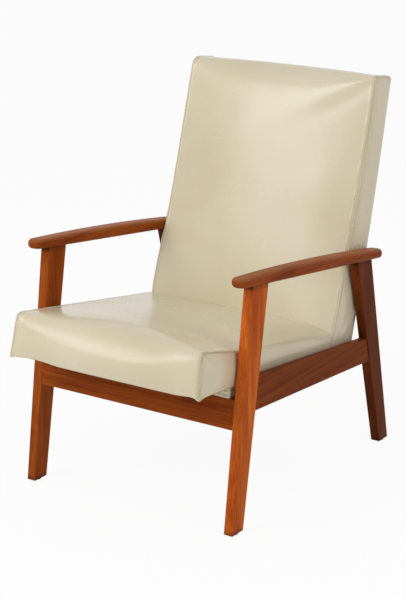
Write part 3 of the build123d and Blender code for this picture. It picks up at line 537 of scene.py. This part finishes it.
class Cushion:
    # one closed skin: the main panel right round, and a panel on each side that shares its edge points
    def __init__(self, name, look, cornersOf):
        self.name, self.look = name, look
        left, middle, right = [outline(look, cornersOf, pick) for pick in ("left", "middle", "right")]
        main = mainPanel(look, left, middle, right)
        self.rows, self.columns = main.shape[:2]
        self.main = np.arange(self.rows * self.columns).reshape(self.rows, self.columns)
        wrapped = np.concatenate([self.main, self.main[:1]])
        points, faces, count = [main.reshape(-1, 3)], [gridFaces(wrapped)], self.main.size
        self.rings = []
        at, _ = cornerRows(look)
        for side, column, pick, edge in ((-1, 0, "left", left), (1, self.columns - 1, "right", right)):
            drawn = tuckRows(look, edge, max(side, 0))
            rings, fill = sidePanel(look, edge, cornersOf(look[pick], look["inset"]), drawn)
            ring = count + np.arange(rings[..., 0].size).reshape(rings.shape[:2])
            index = np.concatenate([self.main[:, column:column + 1], ring], 1)
            self.rings.append(index)
            faces.append(gridFaces(np.concatenate([index, index[:1]])))
            points.append(rings.reshape(-1, 3) * [side, 1, 1])
            count += ring.size
            grid = np.full(fill.shape[:2], -1)
            last = index[:, -1]
            around = [last[np.arange(i, i + n) % self.rows] for i, n in zip(at, grid.shape * 2)]
            grid[:, 0], grid[-1], grid[:, -1], grid[0] = around[0], around[1], around[2][::-1], around[3][::-1]
            free = grid < 0
            grid[free] = count + np.arange(free.sum())
            points.append(fill[free] * [side, 1, 1])
            count += free.sum()
            faces.append(gridFaces(grid))
        self.start = pushed(np.concatenate(points), look["pushes"])
        self.piece = newPiece(name, toFrame(self.start), np.concatenate(faces), cream)
        self.runLength()

    def runLength(self):
        # distance from the seam, along the main panel's rows and along the side panels' rings
        flat = self.start
        self.away = np.full(len(flat), 1e3)
        self.along = np.zeros(len(flat))
        rowsXyz = flat[self.main]
        step = np.linalg.norm(np.diff(rowsXyz, axis=1), axis=-1)
        left = np.concatenate([np.zeros((self.rows, 1)), np.cumsum(step, 1)], 1)
        self.away[self.main] = np.minimum(left, left[:, -1:] - left)
        walk = np.cumsum(np.linalg.norm(rowsXyz[:, 0] - np.roll(rowsXyz[:, 0], 1, 0), axis=-1))
        self.along[self.main] = walk[:, None]
        for index in self.rings:
            ringXyz = flat[index]
            step = np.linalg.norm(np.diff(ringXyz, axis=1), axis=-1)
            self.away[index[:, 1:]] = np.cumsum(step, 1)
            self.along[index] = walk[:, None]

    def swell(self, held):
        # air pressure on the closed skin with its sewn and tacked edges held; each point's move is capped
        piece, look = self.piece, self.look
        group = piece.vertex_groups.new(name="held")
        fixed = np.concatenate([self.main[:, 0], self.main[:, -1], self.main[held].ravel()])
        group.add(np.unique(fixed).tolist(), 1.0, "REPLACE")
        mod = piece.modifiers.new("air", "CLOTH")
        cloth = mod.settings
        cloth.quality, cloth.mass = air["quality"], air["mass"]
        cloth.tension_stiffness = cloth.compression_stiffness = air["stretch"]
        cloth.shear_stiffness, cloth.bending_stiffness = air["shear"], air["bend"]
        cloth.effector_weights.gravity = 0
        cloth.use_pressure, cloth.uniform_pressure_force = True, look["pressure"]
        cloth.vertex_group_mass = "held"
        mod.collision_settings.use_collision = False
        before = pointsOf(piece.data)
        for step in range(1, air["frames"] + 1):
            scene.frame_set(step)
        shaped = bpy.data.meshes.new_from_object(piece.evaluated_get(bpy.context.evaluated_depsgraph_get()))
        move = pointsOf(shaped) - before
        far = np.linalg.norm(move, axis=1, keepdims=True)
        move *= np.minimum(1, look["cap"] * mm / np.maximum(far, tiny))
        piece.modifiers.clear()
        piece.vertex_groups.clear()
        bpy.data.meshes.remove(shaped)
        scene.frame_set(1)
        after = before + move
        beside, below = look["room"]                  # beside the arms and legs the sides give way softly
        high, low = [height * mm for height in air["armLine"]]
        room = (beside + (below - beside) * smoothStep(high, low, after[:, 2])) * mm
        over = np.maximum(np.abs(after[:, 0]) - look["half"] * mm, 0)
        after[:, 0] += np.sign(after[:, 0]) * (room * np.tanh(over / room) - over)
        self.write(after)
        wide = np.abs(after[:, 0]).max()
        print(self.name, "swelled by up to", round(far.max() / mm, 1), "mm, half width", round(wide / mm, 1))

    def write(self, points):
        self.piece.data.vertices.foreach_set("co", points.ravel())
        self.piece.data.update()

    def normals(self):
        return pointsOf(self.piece.data, "normal")

    def sew(self, sewnRows):
        # a raised band beside the seam, a groove in it, a dip along each row of stitches, and small puckers
        band = seam["rise"] * (1 - smoothStep(seam["band"], seam["fade"], self.away))
        groove = seam["groove"] * np.exp(-(self.away / seam["grooveWidth"]) ** 2)
        dip = seam["dip"] * np.exp(-((self.away - seam["row"]) / seam["dipWidth"]) ** 2)
        wave = np.cos(self.along * 2 * math.pi / seam["puckerPitch"])
        pucker = seam["pucker"] * wave * np.exp(-((self.away - seam["puckerAt"]) / seam["puckerWidth"]) ** 2)
        sewn = np.zeros(len(self.away), bool)
        sewn[self.main[sewnRows]] = True
        for index in self.rings:
            sewn[index[sewnRows]] = True
        axis, weak, full, share = self.look["sewn"]
        tight = share + (1 - share) * smoothStep(0, 1, (self.start[:, axis] - weak) / (full - weak))
        lift = np.where(sewn, band - groove - dip + pucker, 0.0) * tight
        self.write(pointsOf(self.piece.data) + self.normals() * lift[:, None] * mm)
        # soil in the seam, with painted shade in its groove, along the stitch row and at the foot of the raised
        # band
        places = zip((0, seam["row"], seam["fade"]), seam["soilShadeWidths"], seam["soilShadeShares"])
        lines = sum(share * np.exp(-((self.away - at) / wide) ** 2) for at, wide, share in places)
        seamSoilShadeLayer = self.piece.data.attributes.new("seam", "FLOAT", "POINT")
        seamSoilShadeLayer.data.foreach_set("value", np.where(sewn, np.clip(lines, 0, 1), 0.0) * tight)

    def stitchPaths(self, sewnRows):
        # lines on the finished skin at the stitch distance, on both sides of both seams, with their outward sides
        points, normals = (pointsOf(self.piece.data) - [0, midY, 0]) / mm, self.normals()
        near, reach = [], 14                          # so many columns from the seam are looked through
        for columns in (self.main, self.main[:, ::-1], *self.rings):
            index = columns[sewnRows][:, :reach]
            spread = self.away[index]
            spread[:, 0] = 0
            slot = np.clip((spread < seam["row"]).sum(1) - 1, 0, index.shape[1] - 2)
            row = np.arange(len(index))
            a, b = index[row, slot], index[row, slot + 1]
            low, high = spread[row, slot], spread[row, slot + 1]
            share = ((seam["row"] - low) / np.maximum(high - low, tiny))[:, None]
            near.append((points[a] * (1 - share) + points[b] * share, unitRows(normals[a] + normals[b])))
        return near


def resample(path, sides, step):
    # points a set step apart along a path, by running length
    length = np.concatenate([[0], np.cumsum(np.linalg.norm(np.diff(path, axis=0), axis=1))])
    at = np.arange(step / 2, length[-1], step)
    pick = lambda values: np.stack([np.interp(at, length, values[:, i]) for i in range(3)], -1)
    return pick(path), unitRows(pick(sides))


def stitches(name, lines):
    # every stitch is a six-sided bead along the line: thick by 1 - t to the fourth, sunk at both ends
    across, around, thinnest = 5, 6, 0.2
    t = np.linspace(-1, 1, across)[None, :, None, None]
    angle = (np.arange(around) * 2 * math.pi / around)[None, None, :, None]
    wide = seam["thick"] * np.sqrt(np.clip(1 - t ** 4, thinnest ** 2, 1))
    points, faces = [], []
    index = np.arange(across * around).reshape(across, around)
    shell = gridFaces(np.concatenate([index, index[:, :1]], 1))
    count = 0
    for path, sides in lines:
        centre, lift = resample(path, sides, seam["stitch"] + seam["gap"])
        run = unitRows(np.gradient(centre, axis=0))
        flank = unitRows(np.cross(run, lift))
        centres, runs, flanks, lifts = [v[:, None, None] for v in (centre, run, flank, lift)]
        bead = (centres + runs * t * seam["stitch"] / 2 + (flanks * np.cos(angle) + lifts * np.sin(angle)) * wide
                + lifts * (seam["proud"] - seam["sink"] * t ** 4))
        points.append(bead.reshape(-1, 3))
        faces.append((shell[None] + count + (np.arange(len(centre)) * index.size)[:, None, None]).reshape(-1, 4))
        count += len(centre) * index.size
    piece = newPiece(name, toFrame(np.concatenate(points)), np.concatenate(faces), thread)
    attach(piece, "root")
    return piece


def finishCushion(cushion, held, sewnRows, *replaced):
    cushion.swell(held)
    cushion.sew(sewnRows)
    stitches(cushion.name.replace("Cushion", "Stitches"), cushion.stitchPaths(sewnRows))
    subdivide(cushion.piece)
    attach(cushion.piece, "root")
    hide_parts(*replaced)
    print(cushion.name, len(cushion.start), "points")


seatCushion = Cushion("seatCushion", seat, seatCorners)
finishCushion(seatCushion, rowsBetween(seat, 2, 0), rowsBetween(seat, 0, 2),
              "seat_cover", "seat_side_panel_left", "seat_side_panel_right", "seat_foam")
backCushion = Cushion("backCushion", back, backCorners)
finishCushion(backCushion, rowsBetween(back, 2, 0), rowsBetween(back, 0, 2),
              "back_cover", "back_side_panel_left", "back_side_panel_right", "back_foam")


# outside back: a flat panel pulled over the rear, its edges turned under
outside = {
    "inset": 1.5, "aboveBase": 1.0, "belowTop": 9.0, "proud": 1.6, "crown": 3.0, "edge": 5.0, "thick": 1.2,
    "rows": 90, "columns": 80, "bunch": 1.5,
}


def outsideBack():
    # height over the rear plane: proud by a quarter-round near the rim, plus a crown of
    # (1 - u squared)(1 - v squared) and the cushion's own bow of (1 - v squared)
    look = outside
    low = meet(backRear, above(baseLevel, look["aboveBase"]))
    high = meet(backRear, above(backTop, -look["belowTop"]))
    length, wide = np.linalg.norm(high - low), 2 * (back["half"] - look["inset"])
    bunch = lambda n: np.sin(np.linspace(-1, 1, n) * look["bunch"]) / math.sin(look["bunch"])
    v, u = bunch(look["rows"])[:, None], bunch(look["columns"])[None, :]
    rim = np.minimum((1 - np.abs(v)) * length / 2, (1 - np.abs(u)) * wide / 2)
    curl = np.sqrt(np.clip(1 - (1 - np.clip(rim / look["edge"], 0, 1)) ** 2, 0, 1))
    rise = look["proud"] * curl + look["crown"] * (1 - u ** 2) * (1 - v ** 2) + back["rearBow"] * (1 - v ** 2)
    upward = (high - low) / length
    outward = np.array([upward[1], -upward[0]])
    plane = low + (v[..., None] + 1) / 2 * length * upward
    plan = plane + rise[..., None] * outward
    points = np.concatenate([np.broadcast_to(u * wide / 2, rise.shape)[..., None], plan], -1)
    index = np.arange(rise.size).reshape(rise.shape)
    piece = newPiece("outsideBack", toFrame(points.reshape(-1, 3)), gridFaces(index)[:, ::-1], cream)
    mod = piece.modifiers.new("sheet", "SOLIDIFY")
    mod.thickness, mod.offset = look["thick"] * mm, -1
    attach(piece, "root")
    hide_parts("outside_back")
    wide * mm
    length * mm


outsideBack()
print("outside back done")


# lining under the unit, a little slack between the bearer and the rear rail
lining = {"sag": 8.0, "thick": 0.8, "clear": 20.0, "sideClear": 10.0, "rows": 60, "columns": 50}


def liningSheet():
    # flat on the hem, and down by (1 - u squared)(1 - v squared) squared over the open middle
    low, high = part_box("unit_lining")
    y = np.linspace(low.y, high.y, lining["rows"])[:, None]
    x = np.linspace(low.x, high.x, lining["columns"])[None, :]
    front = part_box("front_bearer")[1].y + lining["clear"] * mm
    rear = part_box("rear_corner_block_right")[0].y - lining["clear"] * mm
    v = np.clip((2 * y - front - rear) / (rear - front), -1, 1)
    u = np.clip(x / (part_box("seat_frame_side_right")[0].x - lining["sideClear"] * mm), -1, 1)
    flat = (baseLevel[0] + baseLevel[1] * (y - midY) / mm) * mm - lining["thick"] * mm
    z = flat - lining["sag"] * mm * (1 - u ** 2) * (1 - v ** 2) ** 2
    points = np.stack(np.broadcast_arrays(x, y, z), -1)
    index = np.arange(points[..., 0].size).reshape(points.shape[:2])
    piece = newPiece("unitLining", points.reshape(-1, 3), gridFaces(index), finishes["lining"])
    mod = piece.modifiers.new("cloth", "SOLIDIFY")
    mod.thickness, mod.offset = lining["thick"] * mm, 0
    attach(piece, "root")
    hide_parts("unit_lining")


liningSheet()


# vinyl strip round the bearer, a little loose
wrap = {
    "fold": 1.0, "folds": 2.5, "thick": 1.2, "corner": 4.0, "below": 1.0, "wander": 0.9, "wanderRate": 21,
    "rows": 24, "columns": 60, "bend": 8,
}


def bearerStrip():
    # the plan is three straight runs with rounded corners; the face waves in and out up its height
    low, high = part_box("bearer_wrap")
    r, few = wrap["corner"] * mm, wrap["bend"]
    angle = np.linspace(0, math.pi / 2, few)
    leftRun = np.stack([np.full(few, low.x), np.linspace(high.y, low.y + r, few)], -1)
    bend = np.stack([low.x + r - r * np.cos(angle), low.y + r - r * np.sin(angle)], -1)
    across = np.linspace(low.x + r, high.x - r, wrap["columns"])[1:-1]
    frontRun = np.stack([across, np.full(len(across), low.y)], -1)
    plan = np.concatenate([leftRun[:-1], bend, frontRun, (bend * [-1, 1])[::-1], (leftRun[:-1] * [-1, 1])[::-1]])
    tangent = unitRows(np.gradient(plan, axis=0))
    outward = np.stack([tangent[:, 1], -tangent[:, 0]], -1)
    h = np.linspace(0, 1, wrap["rows"])[None, :]
    walk = np.concatenate([[0], np.cumsum(np.linalg.norm(np.diff(plan, axis=0), axis=1))])[:, None]
    top = (baseLevel[0] - wrap["below"] + baseLevel[1] * (plan[:, 1:] - midY) / mm) * mm
    wander = wrap["wander"] * np.sin(walk * wrap["wanderRate"])
    wave = np.sin(h * wrap["folds"] * 2 * math.pi + wander) * np.sqrt(np.abs(np.sin(h * math.pi)))
    xy = plan[:, None] + outward[:, None] * wave[..., None] * wrap["fold"] * mm
    z = low.z + (top - low.z) * h
    points = np.concatenate([xy, z[..., None]], -1)
    index = np.arange(z.size).reshape(z.shape)
    piece = newPiece("bearerWrap", points.reshape(-1, 3), gridFaces(index), cream)
    mod = piece.modifiers.new("sheet", "SOLIDIFY")
    mod.thickness, mod.offset = wrap["thick"] * mm, 0
    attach(piece, "root")
    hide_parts("bearer_wrap")


bearerStrip()
print("lining and bearer done")


# stage: floor, light and camera; a lamp has its azimuth, elevation, distance in m, sides in m and power
studio = {
    "azimuth": 33.906, "elevation": 17.363, "place": (2264.4, -3413.5, 1699.8),
    "focal": 1745.94, "imageHeight": 600.0, "sensor": 36.0,
    "floor": screen(252, 252, 252), "floorHalf": 30.0, "world": 0.45, "white": 0.93, "aim": (0, 0, 0.5),
    "lamps": {
        "key": (-24, 36, 3.6, (2.0, 2.0), 50),
        "fill": (78, 25, 4.0, (0.9, 2.2), 21),
        "top": (10, 86, 3.4, (3.0, 3.0), 3),
    },
}


def seenRays(tree):                                   # 1 for what is seen, mirrored or looked through
    first, second, third = [addNode(tree, "ShaderNodeLightPath", out=name)
                            for name in ("Is Camera Ray", "Is Glossy Ray", "Is Transmission Ray")]
    return first + second + third


def paleFloor():
    # near white to the camera, with the shadow kept in the rest
    finish = Finish("pale floor")
    finish.done(Base_Color=studio["floor"], Roughness=0.9)
    seen = seenRays(finish.tree)
    glow = finish.node("ShaderNodeEmission", None, {"Color": (1, 1, 1, 1), "Strength": 1.0})
    body = Wire(finish.tree, finish.shader.outputs[0])
    mixed = finish.node("ShaderNodeMixShader", None, [seen * studio["white"], body, glow])
    finish.tree.links.new(mixed.socket, finish.tree.nodes["Material Output"].inputs["Surface"])
    return finish.material


floorPoints = np.array([[-1, -1, 0], [1, -1, 0], [1, 1, 0], [-1, 1, 0]]) * studio["floorHalf"]
floor = newPiece("floor", floorPoints, np.array([[0, 1, 2, 3]]), paleFloor(), False)

for name, (azimuth, elevation, distance, size, power) in studio["lamps"].items():
    a, e = math.radians(azimuth), math.radians(elevation)
    lamp = bpy.data.lights.new(name, "AREA")
    lamp.shape = "RECTANGLE"
    lamp.size, lamp.size_y, lamp.energy = *size, power
    holder = bpy.data.objects.new(name, lamp)
    towards = np.array([math.sin(a) * math.cos(e), -math.cos(a) * math.cos(e), math.sin(e)])
    holder.location = towards * distance + studio["aim"]
    holder.rotation_euler = (math.pi / 2 - e, 0, a)
    scene.collection.objects.link(holder)

world = bpy.data.worlds.new("studio")
scene.world = world
world.use_nodes = True
sky = world.node_tree
bright = addNode(sky, "ShaderNodeMapRange", None, [seenRays(sky), 0, 1, studio["world"], 1.0])
sky.links.new(bright.socket, sky.nodes["Background"].inputs["Strength"])
sky.nodes["Background"].inputs["Color"].default_value = (1, 1, 1, 1)

lens = bpy.data.cameras.new("camera")
lens.sensor_width = studio["sensor"]
lens.lens = studio["focal"] / studio["imageHeight"] * lens.sensor_width
camera = bpy.data.objects.new("camera", lens)
camera.location = np.array(studio["place"]) * mm + [0, midY, 0]
camera.rotation_euler = (math.radians(90 - studio["elevation"]), 0, math.radians(studio["azimuth"]))
scene.collection.objects.link(camera)
scene.camera = camera
scene.view_settings.view_transform = "Standard"
print("stage done")

bpy.context.view_layer.update()
